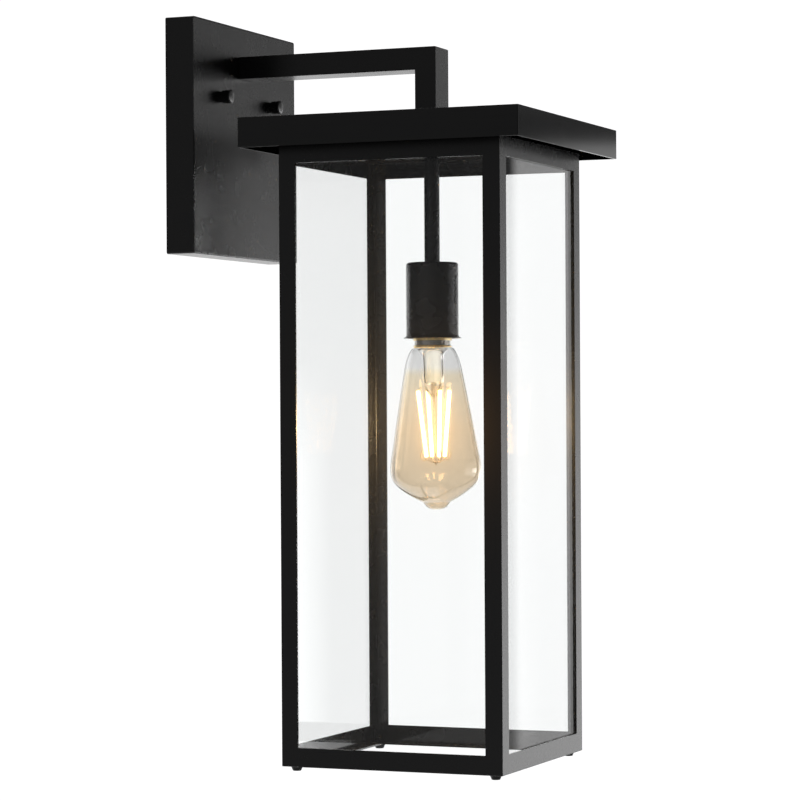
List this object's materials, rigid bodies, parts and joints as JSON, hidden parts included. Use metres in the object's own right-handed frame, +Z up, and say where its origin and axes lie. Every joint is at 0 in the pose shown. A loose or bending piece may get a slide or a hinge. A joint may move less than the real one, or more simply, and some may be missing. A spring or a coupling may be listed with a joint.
{
  "type": "outdoor wall lantern",
  "caption": "Square glazed lantern under a flat roof, hung from a bent arm on a square backplate, with an open bottom and a screw-in filament lamp.",
  "frame": {"origin": "centre of the backplate's rim, in the plane of the wall", "axes": "+Z up, +Y into the wall, -Y out towards the viewer, +X along the wall to the right"},
  "size_m": [0.208, 0.273, 0.5319],
  "materials": {
    "black_coat": "satin black powder coat",
    "zinc_steel": "bright zinc plate",
    "green_screw": "green passivated",
    "gasket_foam": "closed-cell foam",
    "pane_glass": "clear, polished",
    "bulb_glass": "clear glass with an amber cast",
    "porcelain": "glazed",
    "brass": "bright",
    "nickel": "bright nickel plate",
    "black_glass": "black vitreous insulator",
    "filament": "yellow phosphor-coated strip, lit",
    "driver_board": "green circuit board",
    "lead_black": "insulation",
    "lead_white": "insulation",
    "lead_green": "insulation",
    "connector_plastic": "moulded twist-on connector"
  },
  "bodies": {
    "lantern": {"backplate": "black_coat", "arm_bar": "black_coat", "arm_leg": "black_coat", "roof_pan": "black_coat", "ceiling_plate": "black_coat", "post_front_left": "black_coat", "post_front_right": "black_coat", "post_rear_left": "black_coat", "post_rear_right": "black_coat", "top_rail_front": "black_coat", "top_rail_rear": "black_coat", "top_rail_left": "black_coat", "top_rail_right": "black_coat", "bottom_rail_front": "black_coat", "bottom_rail_rear": "black_coat", "bottom_rail_left": "black_coat", "bottom_rail_right": "black_coat", "glass_clips": "black_coat", "ceiling_screws": "black_coat", "corner_screws": "black_coat", "cap_nuts": "black_coat", "stem_tube": "black_coat", "socket_cup": "black_coat", "crossbar": "zinc_steel", "mounting_studs": "zinc_steel", "stud_locknuts": "zinc_steel", "arm_root_plug": "zinc_steel", "arm_nipple": "zinc_steel", "arm_lockwasher": "zinc_steel", "arm_locknut": "zinc_steel", "leg_plug": "zinc_steel", "roof_spacer": "zinc_steel", "stem_rod": "zinc_steel", "socket_locknut": "zinc_steel", "ground_screw": "green_screw", "wall_gasket": "gasket_foam", "pane_front": "pane_glass", "pane_rear": "pane_glass", "pane_left": "pane_glass", "pane_right": "pane_glass", "socket_body": "porcelain", "socket_shell": "brass", "socket_contact": "brass", "terminal_screws": "brass", "lead_live": "lead_black", "lead_neutral": "lead_white", "lead_ground": "lead_green", "wire_connectors": "connector_plastic"},
    "bulb_carrier": {"bulb_contact": "nickel", "bulb_insulator": "black_glass"},
    "bulb": {"bulb_cap": "nickel", "bulb_collar": "brass", "bulb_glass": "bulb_glass", "bulb_mount": "bulb_glass", "bulb_supports": "zinc_steel", "bulb_filaments": "filament", "bulb_driver": "driver_board"}
  },
  "joints": [
    {"name": "bulb_travel", "type": "slide", "parent": "lantern", "child": "bulb_carrier", "axis": [0, 0, -1], "range_m": [0, 0.01815]},
    {"name": "bulb_turn", "type": "hinge", "parent": "bulb_carrier", "child": "bulb", "pos_m": [0, -0.169, -0.13], "axis": [0, 0, -1], "range_deg": [0, 1800]}
  ],
  "couplings": [
    {"joint": "bulb_travel", "follows": "bulb_turn", "m_per_rad": 0.00057753}
  ]
}
